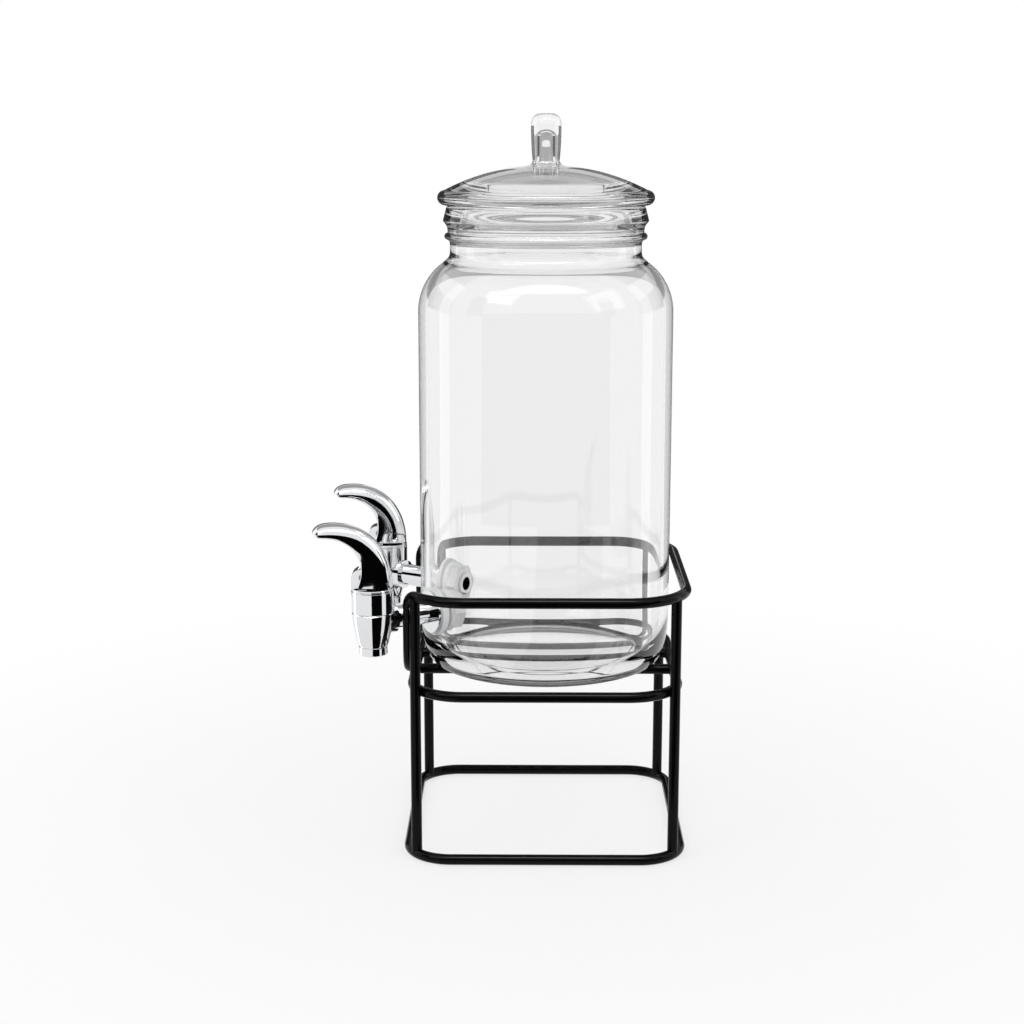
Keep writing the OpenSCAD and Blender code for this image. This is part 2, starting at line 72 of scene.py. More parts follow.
# Foot and heel: the foot is hollow in the middle and stands on the ring round it
FOOT_HOLLOW_H, FOOT_HOLLOW_IN, FOOT_RING_IN = 2.0, 10.0, 6.0
HEEL_W, HEEL_H = 11.0, 35.0
HEEL_IN_W = HEEL_W + 5

# Shoulder and neck: the arc stops some degrees short, and a few points (out, up) ease it in
SHOULDER_R, NECK_R, NECK_H, NECK_WALL = 42.0, 67.3, 74.2, 5.4
NECK_IN_R = NECK_R - NECK_WALL
SHOULDER_STOP, SHOULDER_IN_STOP = 7.0, 6.0
NECK_EASE = ((0.7, 0.9), (0.1, 3.4), (0.0, 6.0))
NECK_IN_EASE = ((0.0, 6.0), (0.2, 3.0))

# Finish of the neck: a bead, a stretch that stands proud, a band and the mouth's round edges
BEAD_R, BEAD_OUT, BEAD_DROP, BEAD_FOOT = 2.3, 3.9, 21.5, 1.5
PROUD_OUT, PROUD_DROP = 2.0, 14.5
PROUD_FOOT_OUT, PROUD_FOOT_UP = 1.6, 1.4
BAND_R, BAND_OUT, BAND_DROP = 2.0, 4.8, 10.3
MOUTH_R, MOUTH_BACK, LIP_R = 3.0, 2.0, 2.5

# Lid, in millimetres above the jar's mouth, with its box from the CAD node
lid_high = box_mm("lid")[1]
LID_R, LID_H = lid_high[0], lid_high[2] - MOUTH_Z
REST_GAP, LID_RIM_R = 0.05, 5.05
DOME_R, DOME_WALL = 155.0, 5.0
DOME_EDGE_IN, DOME_EDGE_DROP, DOME_PAST_RIM = 3.5, 0.6, 0.4
COLLAR_H, COLLAR_WALL, COLLAR_GAP, COLLAR_EDGE = 14.0, 4.0, 1.8, 1.0

# Knob on the lid: rounded top, slightly slimmer foot, flare into the dome, hollow from below
KNOB_R, KNOB_CROWN_W, KNOB_CROWN_H = 10.6, 6.5, 8.0
KNOB_SIDE_DROP, KNOB_SLIM, KNOB_SLIM_UP = 14.0, 0.6, 9.0
FLARE_R, FLARE_OUT, FLARE_UP = 3.8, 2.6, 3.2
BORE_R, BORE_CAP, BORE_FOOT_UP = 4.9, 16.0, 7.0
BORE_EDGE_IN, BORE_EASE_IN, BORE_EASE_UP = 0.5, 2.0, 1.5

# Taps, in millimetres and degrees from straight ahead
TAP_ANGLE, TAP_REACH, TAP_Z = 31.2, 139.5, 170.5
HOLE_R, DRILL_PAST = 8.5, 6.0
HEAD_Z = 193.7

# Lever, in millimetres from the middle of its bonnet: the curve it follows, and its section
LEVER_REACH, LEVER_TIP_Z = 40.5, 38.8
LEVER_CURVE = ((1.5, -1.5), (5, 21.5), (-12.5, LEVER_TIP_Z + 5.2), (-LEVER_REACH, LEVER_TIP_Z))
LEVER_FOOT, LEVER_END, LEVER_HALF_W, LEVER_WALL = 12.6, 4.3, 10.0, 2.2
LEVER_TAPER, LEVER_CROWN, LEVER_WAIST, LEVER_TIP_W = 1.35, 1.6, 1.4, 0.35
RIM_ROLL, RIM_ROLL_SHARE, RIM_ROLL_LOST, RIM_TURN = 3.0, 0.7, 0.85, 38
FOOT_ROUND, TIP_ROUND = 0.5, 0.9
HOLLOW_LEAST = 0.25

# Shares of the lever's length: where its body ends, and each change's start and length
LEVER_BODY = 0.9
WAIST_SPAN, ROLL_SPAN = (0, 0.85), (0.2, 0.3)
HOLLOW_SPAN, ROUND_SPAN = (0.6, 0.26), (0.12, 0.45)

# Lever's mesh: steps of its body and tip, degrees of a tip step, degrees that make a sharp edge
LEVER_STEPS, TIP_STEPS, TIP_STEP = 54, 15, 5
SHARP_FROM = 48

# Lever's cuts: its open foot, the pivot's hole and the pocket of the cross pin
FOOT_GAP = 1.3
PIVOT_Y, PIVOT_Z, PIVOT_R = 7.0, 8.4, 1.6
CROSS_R, MOVE_GAP, POCKET_SLACK = 1.5, 0.4, 1.0
PIN_HALF = LEVER_HALF_W - 1
CUT_X, CUT_Y = 20, 30

# Return spring, in millimetres above the tap's shank
SPRING_R, SPRING_WIRE, SPRING_TURNS = 5.0, 1.0, 5
SPRING_LOW, SPRING_HIGH = 3.7, 19.2
SPRING_SIDES, SPRING_STEPS = 12, 36

# Glass, how fast its thickness greys the light, per metre
JAR_DEPTH, LID_DEPTH = 11.0, 9.0

# Studio, in metres and degrees round the part from +X, the side the photograph was taken from
FLOOR_HALF, ABOVE_FLOOR = 9.0, 0.004
SHADOW_NEAR, SHADOW_FAR = 0.16, 0.75
WORLD_FILL = 0.75
CLOTH_AT = 3.2
FRONT_CLOTH, FRONT_CLOTH_FROM, FRONT_CLOTH_Z = (-58, 58), 1.2, (0, 0.8)
LOW_CARD, LOW_CARD_REACH = (-1, 58), (0.13, 1.2)
SHANK_CARDS, SHANK_CARD_AT, SHANK_CARD_Z = ((-74, -58), (50, 64)), 2.6, (0.55, 2.0)
EDGE_CARD_OFF, EDGE_CARD_FROM, EDGE_CARD_Z = (3, 44), 0.75, (0, 1.4)
KNOB_CARD_OFF, KNOB_CARD_Z = (42, 82), (0.44, 1.4)
BACK_CARD, BACK_CARD_Z = (180 - 42, 180 + 42), (0.62, 1.6)
SIDE_BOXES, SIDE_BOX_AT = ((-108, -94), (94, 108)), 1.7
SIDE_BOX_FROM, SIDE_BOX_Z = 0.35, (0, 1.7)
CEILING_Z = 1.7
TOP_BOX, TOP_BOX_HALF_Y = (0.5, 1.25), 1.2
REFLECTOR_HALF_Y, REFLECTOR_MIRRORED, REFLECTOR_THROUGH = 1.6, (-2.6, -0.3), (-2.6, -0.5)
TOP_LEVEL, BOX_LEVEL, GREY_LEVEL, DIM_LEVEL = 30.0, 2.0, 0.4, 0.08
LAMP_AIM = (0, 0, 0.25)


def linear(hex_colour):
    """An sRGB hex colour as linear RGBA."""
    parts = [int(hex_colour[i:i + 2], 16) / 255 for i in (1, 3, 5)]
    parts = [c / 12.92 if c <= 0.04045 else ((c + 0.055) / 1.055) ** 2.4 for c in parts]
    return (*parts, 1.0)


def add(tree, kind, sockets=None, **settings):
    """Adds one shader node: settings are its own fields, sockets are values or links by name."""
    node = tree.nodes.new(kind)
    for field, value in settings.items():
        setattr(node, field, value)
    for name, value in (sockets or {}).items():
        if isinstance(value, bpy.types.NodeSocket):
            tree.links.new(value, node.inputs[name])
        else:
            node.inputs[name].default_value = value
    return node


def new_material(name):
    """A material with an empty node tree, as (material, tree)."""
    material = bpy.data.materials.new(name)
    material.use_nodes = True
    material.node_tree.nodes.clear()
    return material, material.node_tree


def per_metre(size_mm):
    """Scale of a texture whose features are size_mm across."""
    return 1.0 / (size_mm * MM)


# Materials of the part

def soda_lime_glass(name, ripple_mm, depth):
    """Pressed soda-lime glass: clear, bright, with the slow ripple of a fire-polished mould."""
    material, tree = new_material(name)
    place = add(tree, "ShaderNodeTexCoord")
    ripple = add(tree, "ShaderNodeTexNoise", {
        "Vector": place.outputs["Object"], "Scale": per_metre(ripple_mm), "Detail": 1.0})
    bump = add(tree, "ShaderNodeBump", {
        "Height": ripple.outputs["Fac"], "Strength": 0.2, "Distance": 0.12 * MM})
    surface = add(tree, "ShaderNodeBsdfPrincipled", {
        "Base Color": linear("#FBFBFB"), "Roughness": 0.0, "IOR": 1.51,
        "Transmission Weight": 1.0, "Normal": bump.outputs["Normal"]})
    body = add(tree, "ShaderNodeVolumeAbsorption", {"Color": linear("#CDCFCF"), "Density": depth})
    add(tree, "ShaderNodeOutputMaterial", {
        "Surface": surface.outputs["BSDF"], "Volume": body.outputs["Volume"]})
    return material


def chrome_plate():
    """Bright chrome on a zinc casting: mirror-like, with faint polishing unevenness."""
    material, tree = new_material("chrome_plated_zinc")
    place = add(tree, "ShaderNodeTexCoord")
    haze = add(tree, "ShaderNodeTexNoise", {
        "Vector": place.outputs["Object"], "Scale": per_metre(7), "Detail": 4.0})
    rough = add(tree, "ShaderNodeMapRange", {
        "Value": haze.outputs["Fac"], "To Min": 0.03, "To Max": 0.08})
    bump = add(tree, "ShaderNodeBump", {
        "Height": haze.outputs["Fac"], "Strength": 0.05, "Distance": 0.1 * MM})
    surface = add(tree, "ShaderNodeBsdfPrincipled", {
        "Base Color": linear("#E2E3E5"), "Metallic": 1.0,
        "Roughness": rough.outputs["Result"], "Normal": bump.outputs["Normal"]})
    add(tree, "ShaderNodeOutputMaterial", {"Surface": surface.outputs["BSDF"]})
    return material


def black_enamel():
    """Gloss black enamel on steel wire: deep black, thin soft highlights, slight orange peel."""
    material, tree = new_material("gloss_black_enamelled_steel_wire")
    place = add(tree, "ShaderNodeTexCoord")
    peel = add(tree, "ShaderNodeTexNoise", {
        "Vector": place.outputs["Object"], "Scale": per_metre(1.6), "Detail": 2.0})
    wear = add(tree, "ShaderNodeTexNoise", {
        "Vector": place.outputs["Object"], "Scale": per_metre(18), "Detail": 5.0})
    rough = add(tree, "ShaderNodeMapRange", {
        "Value": wear.outputs["Fac"], "To Min": 0.1, "To Max": 0.2})
    tint = add(tree, "ShaderNodeMixRGB", {
        "Fac": wear.outputs["Fac"], "Color1": linear("#030304"), "Color2": linear("#080809")})
    bump = add(tree, "ShaderNodeBump", {
        "Height": peel.outputs["Fac"], "Strength": 0.1, "Distance": 0.05 * MM})
    surface = add(tree, "ShaderNodeBsdfPrincipled", {
        "Base Color": tint.outputs["Color"], "Roughness": rough.outputs["Result"],
        "Specular IOR Level": 0.1, "Normal": bump.outputs["Normal"]})
    add(tree, "ShaderNodeOutputMaterial", {"Surface": surface.outputs["BSDF"]})
    return material


def stainless_steel():
    """Drawn stainless wire and turned pins: grey metal with an uneven, fine-grained shine."""
    material, tree = new_material("turned_stainless_steel")
    place = add(tree, "ShaderNodeTexCoord")
    grain = add(tree, "ShaderNodeTexNoise", {
        "Vector": place.outputs["Object"], "Scale": per_metre(0.8), "Detail": 3.0})
    rough = add(tree, "ShaderNodeMapRange", {
        "Value": grain.outputs["Fac"], "To Min": 0.2, "To Max": 0.4})
    surface = add(tree, "ShaderNodeBsdfPrincipled", {
        "Base Color": linear("#B4B5B8"), "Metallic": 1.0, "Roughness": rough.outputs["Result"]})
    add(tree, "ShaderNodeOutputMaterial", {"Surface": surface.outputs["BSDF"]})
    return material


def pale_moulding(name, colour, roughness):
    """Moulded silicone or nylon: milky white, softly shining, with a faint mould grain."""
    material, tree = new_material(name)
    place = add(tree, "ShaderNodeTexCoord")
    grain = add(tree, "ShaderNodeTexNoise", {
        "Vector": place.outputs["Object"], "Scale": per_metre(2.5), "Detail": 3.0})
    rough = add(tree, "ShaderNodeMapRange", {
        "Value": grain.outputs["Fac"], "To Min": roughness - 0.08, "To Max": roughness + 0.08})
    bump = add(tree, "ShaderNodeBump", {
        "Height": grain.outputs["Fac"], "Strength": 0.1, "Distance": 0.08 * MM})
    surface = add(tree, "ShaderNodeBsdfPrincipled", {
        "Base Color": linear(colour), "Roughness": rough.outputs["Result"],
        "Transmission Weight": 0.1, "IOR": 1.4, "Normal": bump.outputs["Normal"]})
    add(tree, "ShaderNodeOutputMaterial", {"Surface": surface.outputs["BSDF"]})
    return material


# Materials of the studio

def seen_by_eye_or_mirror(tree):
    """1 for rays from the camera, a mirror or through glass, 0 for light that falls on the part."""
    light = add(tree, "ShaderNodeLightPath")
    seen = add(tree, "ShaderNodeMath", {
        0: light.outputs["Is Camera Ray"], 1: light.outputs["Is Glossy Ray"]}, operation="MAXIMUM")
    seen = add(tree, "ShaderNodeMath", {
        0: seen.outputs[0], 1: light.outputs["Is Transmission Ray"]}, operation="MAXIMUM")
    return seen.outputs[0]


def studio_floor():
    """Pale sweep: matt paper round the part, where its shadow shows, fading to plain white."""
    material, tree = new_material("pale_studio_floor")
    place = add(tree, "ShaderNodeTexCoord")
    tone = add(tree, "ShaderNodeTexNoise", {
        "Vector": place.outputs["Object"], "Scale": per_metre(400), "Detail": 2.0})
    colour = add(tree, "ShaderNodeMixRGB", {
        "Fac": tone.outputs["Fac"], "Color1": linear("#F7F7F7"), "Color2": linear("#FAFAFA")})
    paper = add(tree, "ShaderNodeBsdfDiffuse", {"Color": colour.outputs["Color"]})
    glow = add(tree, "ShaderNodeEmission", {"Color": linear("#FFFFFF"), "Strength": 1.0})
    reach = add(tree, "ShaderNodeVectorMath", {0: place.outputs["Object"]}, operation="LENGTH")
    fade = add(tree, "ShaderNodeMapRange", {
        "Value": reach.outputs["Value"], "From Min": SHADOW_NEAR, "From Max": SHADOW_FAR,
        "To Min": 0.7, "To Max": 1.0}, interpolation_type="SMOOTHSTEP")
    share = add(tree, "ShaderNodeMath", {
        0: seen_by_eye_or_mirror(tree), 1: fade.outputs["Result"]}, operation="MULTIPLY")
    mix = add(tree, "ShaderNodeMixShader", {
        0: share.outputs[0], 1: paper.outputs["BSDF"], 2: glow.outputs["Emission"]})
    add(tree, "ShaderNodeOutputMaterial", {"Surface": mix.outputs["Shader"]})
    return material


def black_cloth():
    """Matt black cloth on the cards that draw the dark edges of glass and chrome."""
    material, tree = new_material("black_studio_cloth")
    place = add(tree, "ShaderNodeTexCoord")
    nap = add(tree, "ShaderNodeTexNoise", {
        "Vector": place.outputs["Object"], "Scale": per_metre(30)})
    colour = add(tree, "ShaderNodeMixRGB", {
        "Fac": nap.outputs["Fac"], "Color1": linear("#030303"), "Color2": linear("#0A0A0A")})
    cloth = add(tree, "ShaderNodeBsdfDiffuse", {"Color": colour.outputs["Color"]})
    add(tree, "ShaderNodeOutputMaterial", {"Surface": cloth.outputs["BSDF"]})
    return material


def lit_screen(name, level):
    """Evenly lit screen of a soft box or a reflector, a little uneven as woven stuff is."""
    material, tree = new_material(name)
    place = add(tree, "ShaderNodeTexCoord")
    weave = add(tree, "ShaderNodeTexNoise", {
        "Vector": place.outputs["Object"], "Scale": per_metre(250)})
    strength = add(tree, "ShaderNodeMapRange", {
        "Value": weave.outputs["Fac"], "To Min": 0.85 * level, "To Max": 1.15 * level})
    glow = add(tree, "ShaderNodeEmission", {
        "Color": linear("#FFFFFF"), "Strength": strength.outputs["Result"]})
    add(tree, "ShaderNodeOutputMaterial", {"Surface": glow.outputs["Emission"]})
    return material


def lit_top_screen():
    """Diffusion screen of the top box: bright in the middle and fading out to its edges."""
    material, tree = new_material("lit_top_screen")
    near, far = TOP_BOX
    place = add(tree, "ShaderNodeTexCoord")
    spread = add(tree, "ShaderNodeMapping", {
        "Vector": place.outputs["Object"], "Location": ((near + far) / 2, 0, CEILING_Z),
        "Scale": ((far - near) / 2, TOP_BOX_HALF_Y, 1)}, vector_type="TEXTURE")
    fall = add(tree, "ShaderNodeTexGradient", {
        "Vector": spread.outputs["Vector"]}, gradient_type="QUADRATIC_SPHERE")
    strength = add(tree, "ShaderNodeMapRange", {
        "Value": fall.outputs["Fac"], "To Min": 1.0, "To Max": TOP_LEVEL})
    glow = add(tree, "ShaderNodeEmission", {
        "Color": linear("#FFFFFF"), "Strength": strength.outputs["Result"]})
    add(tree, "ShaderNodeOutputMaterial", {"Surface": glow.outputs["Emission"]})
    return material


# Places and lines

def tap_frame(side):
    """Radial frame of a tap in millimetres: origin where the spout crosses the shank."""
    return (Matrix.Rotation(math.radians(side * TAP_ANGLE), 4, "Z")
            @ Matrix.Translation((0, -TAP_REACH, TAP_Z)))


def even(start, end, n):
    """The ends and steps of n even stretches from start to end."""
    return [start + (end - start) * i / n for i in range(n + 1)]


def ramp(s, start, length):
    """0 up to start, then rising evenly to 1 over length."""
    return min(1, max(0, (s - start) / length))


def arc(cx, cz, rx, rz, start, end, n):
    """Points of an elliptic arc, by degrees."""
    turns = [math.radians(degrees) for degrees in even(start, end, n)]
    return [(cx + rx * math.cos(a), cz + rz * math.sin(a)) for a in turns]


def soften(points, rounds=2):
    """Cuts the corners of an open line again and again, which rounds them off."""
    for _ in range(rounds):
        cut = [points[0]]
        for (x0, z0), (x1, z1) in zip(points, points[1:]):
            cut += [(0.75 * x0 + 0.25 * x1, 0.75 * z0 + 0.25 * z1),
                    (0.25 * x0 + 0.75 * x1, 0.25 * z0 + 0.75 * z1)]
        points = cut + [points[-1]]
    return points


def new_object(name, data):
    """A new object in the scene."""
    item = bpy.data.objects.new(name, data)
    bpy.context.scene.collection.objects.link(item)
    return item


# Studio

def panel(name, corners, material, seen_by=None):
    """One flat stage panel. With seen_by, only rays of that kind see it."""
    mesh = bpy.data.meshes.new(name)
    mesh.from_pydata([tuple(c) for c in corners], [], [tuple(range(len(corners)))])
    mesh.materials.append(material)
    flat = new_object(name, mesh)
    if seen_by:
        for ray in ("camera", "diffuse", "glossy", "transmission", "shadow", "volume_scatter"):
            setattr(flat, "visible_" + ray, ray == seen_by)


def round_the_part(degrees, reach, z=0.0):
    """A point at that many degrees from +X, reach metres from the part's axis."""
    a = math.radians(degrees)
    return Vector((reach * math.cos(a), reach * math.sin(a), z))


def upright(name, span, reach, heights, material, seen_by):
    """An upright panel between two directions round the part."""
    start, end = span
    low, high = heights
    corners = ((start, low), (end, low), (end, high), (start, high))
    panel(name, [round_the_part(d, reach, z) for d, z in corners], material, seen_by)


def sector(name, span, near, far, material, seen_by, middle=(0, 0, 0), steps=12):
    """A flat ring sector that lies just above the floor, round the part or round another middle."""
    turns = even(*span, steps)
    shift = Vector((middle[0], middle[1], ABOVE_FLOOR))
    panel(name, [round_the_part(d, near) + shift for d in turns]
          + [round_the_part(d, far) + shift for d in turns[::-1]], material, seen_by)


def ceiling(name, span, half_y, material, seen_by):
    """A level panel above the part, between two places along X."""
    near, far = span
    panel(name, [(near, -half_y, CEILING_Z), (far, -half_y, CEILING_Z),
                 (far, half_y, CEILING_Z), (near, half_y, CEILING_Z)], material, seen_by)


def build_surround():
    """White world and pale floor: both white to the eye, plainer as light on the part."""
    scene = bpy.context.scene
    scene.view_settings.view_transform = "Standard"
    scene.world = bpy.data.worlds.new("white_studio")
    scene.world.use_nodes = True
    tree = scene.world.node_tree
    tree.nodes.clear()
    strength = add(tree, "ShaderNodeMapRange", {
        "Value": seen_by_eye_or_mirror(tree), "To Min": WORLD_FILL, "To Max": 1.0})
    back = add(tree, "ShaderNodeBackground", {
        "Color": linear("#FFFFFF"), "Strength": strength.outputs["Result"]})
    add(tree, "ShaderNodeOutputWorld", {"Surface": back.outputs["Background"]})
    h = FLOOR_HALF
    panel("floor", [(-h, -h, 0), (h, -h, 0), (h, h, 0), (-h, h, 0)], studio_floor())


def build_cards():
    """Dark cards, reflectors and soft boxes, each seen only mirrored or only through the glass."""
    black = black_cloth()
    box_screen = lit_screen("lit_diffusion_screen", BOX_LEVEL)
    grey_screen = lit_screen("grey_reflector", GREY_LEVEL)
    dim_screen = lit_screen("dim_reflector", DIM_LEVEL)
    sector("front_cloth", FRONT_CLOTH, FRONT_CLOTH_FROM, CLOTH_AT, black, "glossy")
    upright("front_cloth_wall", FRONT_CLOTH, CLOTH_AT, FRONT_CLOTH_Z, black, "glossy")
    near_tap = tap_frame(1).translation * MM
    sector("low_card", LOW_CARD, *LOW_CARD_REACH, black, "glossy", near_tap)
    for i, span in enumerate(SHANK_CARDS):
        upright(f"shank_card_{i}", span, SHANK_CARD_AT, SHANK_CARD_Z, black, "glossy")
    for side, name in ((-1, "right"), (1, "left")):
        edge_span, knob_span = ([180 + side * off for off in offs]
                                for offs in (EDGE_CARD_OFF, KNOB_CARD_OFF))
        sector(f"edge_card_{name}", edge_span, EDGE_CARD_FROM, CLOTH_AT, dim_screen, "glossy")
        upright(f"edge_card_wall_{name}", edge_span, CLOTH_AT, EDGE_CARD_Z, dim_screen, "glossy")
        upright(f"knob_card_{name}", knob_span, CLOTH_AT, KNOB_CARD_Z, dim_screen, "transmission")
    upright("back_card", BACK_CARD, CLOTH_AT, BACK_CARD_Z, grey_screen, "transmission")
    for i, span in enumerate(SIDE_BOXES):
        upright(f"side_box_{i}", span, SIDE_BOX_AT, SIDE_BOX_Z, box_screen, "glossy")
        sector(f"side_box_foot_{i}", span, SIDE_BOX_FROM, SIDE_BOX_AT, box_screen, "glossy")
    ceiling("top_box", TOP_BOX, TOP_BOX_HALF_Y, lit_top_screen(), "glossy")
    ceiling("back_reflector", REFLECTOR_MIRRORED, REFLECTOR_HALF_Y, grey_screen, "glossy")
    ceiling("back_reflector_through_glass", REFLECTOR_THROUGH, REFLECTOR_HALF_Y,
            grey_screen, "transmission")


def soft_box(name, place, size, power):
    """A square soft box that faces the part."""
    lamp = bpy.data.lights.new(name, "AREA")
    lamp.shape = "SQUARE"
    lamp.size = size
    lamp.energy = power
    holder = new_object(name, lamp)
    holder.location = place
    holder.rotation_euler = (Vector(LAMP_AIM) - Vector(place)).to_track_quat("-Z", "Y").to_euler()


def set_camera():
    """The camera at the photograph's place."""
    camera = new_object("photo_camera", bpy.data.cameras.new("photo_camera"))
    camera.location = CAMERA_AT
    camera.rotation_euler = Vector(CAMERA_LOOK).to_track_quat("-Z", "Y").to_euler()
    camera.data.lens = CAMERA_LENS
    camera.data.sensor_width = CAMERA_SENSOR
    bpy.context.scene.camera = camera


# Ways to make a shape

def mesh_piece(name, verts, faces, material, smooth=True):
    """A new mesh object, its sizes given in millimetres."""
    mesh = bpy.data.meshes.new(name)
    mesh.from_pydata([tuple(c * MM for c in v) for v in verts], [], faces)
    mesh.validate()
    mesh.polygons.foreach_set("use_smooth", [smooth] * len(mesh.polygons))
    mesh.materials.append(material)
    return new_object(name, mesh)


def lathe(name, profile, z0, material, turns=256):
    """Turns a profile that starts and ends on the axis round Z."""
    inner = profile[1:-1]
    n = len(inner)
    verts = [(0, 0, z0 + profile[0][1])]
    for t in range(turns):
        c, s = math.cos(math.tau * t / turns), math.sin(math.tau * t / turns)
        verts += [(x * c, x * s, z0 + z) for x, z in inner]
    verts.append((0, 0, z0 + profile[-1][1]))
    end = len(verts) - 1
    faces = []
    for t in range(turns):
        a, b = 1 + t * n, 1 + (t + 1) % turns * n
        faces.append((0, b, a))
        faces += [(a + i, b + i, b + i + 1, a + i + 1) for i in range(n - 1)]
        faces.append((end, a + n - 1, b + n - 1))
    return mesh_piece(name, verts, faces, material)


def cut_out(piece, cutters):
    """Cuts the cutters out of a piece and removes them."""
    for cutter in cutters:
        bite = piece.modifiers.new("bite", "BOOLEAN")
        bite.operation = "DIFFERENCE"
        bite.solver = "EXACT"
        bite.object = cutter
    solid = bpy.data.meshes.new_from_object(
        piece.evaluated_get(bpy.context.evaluated_depsgraph_get()))
    piece.modifiers.clear()
    piece.data = solid
    for cutter in cutters:
        bpy.data.objects.remove(cutter)


def rod(name, radius, start, end, material, sides=48):
    """A plain cylinder between two points in millimetres, used as a cutter."""
    axis = Vector(end) - Vector(start)
    turn = axis.to_track_quat("Z", "Y").to_matrix()
    ring = [(radius * math.cos(math.tau * i / sides), radius * math.sin(math.tau * i / sides))
            for i in range(sides)]
    verts = [Vector(start) + turn @ Vector((x, y, h)) for h in (0, axis.length) for x, y in ring]
    faces = [(i, (i + 1) % sides, sides + (i + 1) % sides, sides + i) for i in range(sides)]
    faces += [tuple(range(sides))[::-1], tuple(range(sides, 2 * sides))]
    return mesh_piece(name, verts, faces, material, smooth=False)


def block(name, low, high, material):
    """A plain box between two corners in millimetres, used as a cutter."""
    xs, ys, zs = zip(low, high)
    verts = [(x, y, z) for x in xs for y in ys for z in zs]
    faces = [(0, 1, 3, 2), (4, 6, 7, 5), (0, 4, 5, 1), (2, 3, 7, 6), (0, 2, 6, 4), (1, 5, 7, 3)]
    return mesh_piece(name, verts, faces, material, smooth=False)


# Jar

def shoulder(r, neck_r):
    """Middle of a shoulder arc (x, z), and the angle and height at which it meets the neck."""
    x, z = JAR_R - SHOULDER_R, JAR_H - NECK_H
    edge = math.acos((neck_r - x) / r)
    return x, z, math.degrees(edge), z + r * math.sin(edge)


def jar_outside():
    """Outside of the jar from the middle of its foot to its mouth."""
    x, z, edge, meet = shoulder(SHOULDER_R, NECK_R)
    flat = JAR_R - HEEL_W
    bead_x, bead_z = NECK_R + BEAD_OUT - BEAD_R, JAR_H - BEAD_DROP
    band_x, mouth_x = NECK_R + BAND_OUT - BAND_R, NECK_R + BAND_OUT - MOUTH_BACK - MOUTH_R
    foot = [(0, FOOT_HOLLOW_H), (flat - FOOT_HOLLOW_IN, FOOT_HOLLOW_H), (flat - FOOT_RING_IN, 0)]
    bead = ([(NECK_R, bead_z - BEAD_R - BEAD_FOOT), (bead_x, bead_z - BEAD_R)]
            + arc(bead_x, bead_z, BEAD_R, BEAD_R, -60, 60, 6) + [(bead_x, bead_z + BEAD_R)])
    proud = [(NECK_R + PROUD_FOOT_OUT, bead_z + BEAD_R + PROUD_FOOT_UP),
             (NECK_R + PROUD_OUT, JAR_H - PROUD_DROP)]
    return (foot + arc(flat, HEEL_H, HEEL_W, HEEL_H, -90, 0, 14)
            + [(JAR_R, up) for up in even(HEEL_H, z, WALL_STEPS)[1:-1]]
            + arc(x, z, SHOULDER_R, SHOULDER_R, 0, edge - SHOULDER_STOP, 12)
            + [(NECK_R + out, meet + up) for out, up in NECK_EASE] + bead + proud
            + arc(band_x, JAR_H - BAND_DROP, BAND_R, BAND_R, -50, 0, 3)
            + arc(mouth_x, JAR_H - MOUTH_R, MOUTH_R, MOUTH_R, 0, 90, 5))


def jar_inside():
    """Inside of the jar from its mouth to the middle of its floor."""
    r, wall_x = SHOULDER_R - JAR_WALL, JAR_R - JAR_WALL
    x, z, edge, meet = shoulder(r, NECK_IN_R)
    return (arc(NECK_IN_R + LIP_R, JAR_H - LIP_R, LIP_R, LIP_R, 90, 180, 4)
            + [(NECK_IN_R + out, meet + up) for out, up in NECK_IN_EASE]
            + arc(x, z, r, r, edge - SHOULDER_IN_STOP, 0, 12)
            + [(wall_x, up) for up in even(z, HEEL_H, WALL_STEPS)[1:-1]]
            + arc(wall_x - HEEL_IN_W, HEEL_H, HEEL_IN_W, HEEL_H - JAR_FLOOR, 0, -90, 14)
            + [(0, JAR_FLOOR)])


def build_jar(glass):
    """The jar as one smooth turned glass with its two tap holes."""
    jar = lathe("jar_glass", soften(jar_outside() + jar_inside()), JAR_Z, glass)
    wall = TAP_REACH - JAR_R
    drills = []
    for side in (1, -1):
        start, end = (tap_frame(side) @ Vector((0, y, 0))
                      for y in (wall - DRILL_PAST, wall + JAR_WALL + DRILL_PAST))
        drills.append(rod(f"hole_{side}", HOLE_R, start, end, glass))
    cut_out(jar, drills)
    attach(jar, "jar")
    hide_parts("glass_jar")
    jar.visible_shadow = False


# Lid

def on_dome(r, middle_z, xs):
    """Points on a dome's section at the given distances from the axis."""
    return [(x, middle_z + math.sqrt(r ** 2 - x * x)) for x in xs]


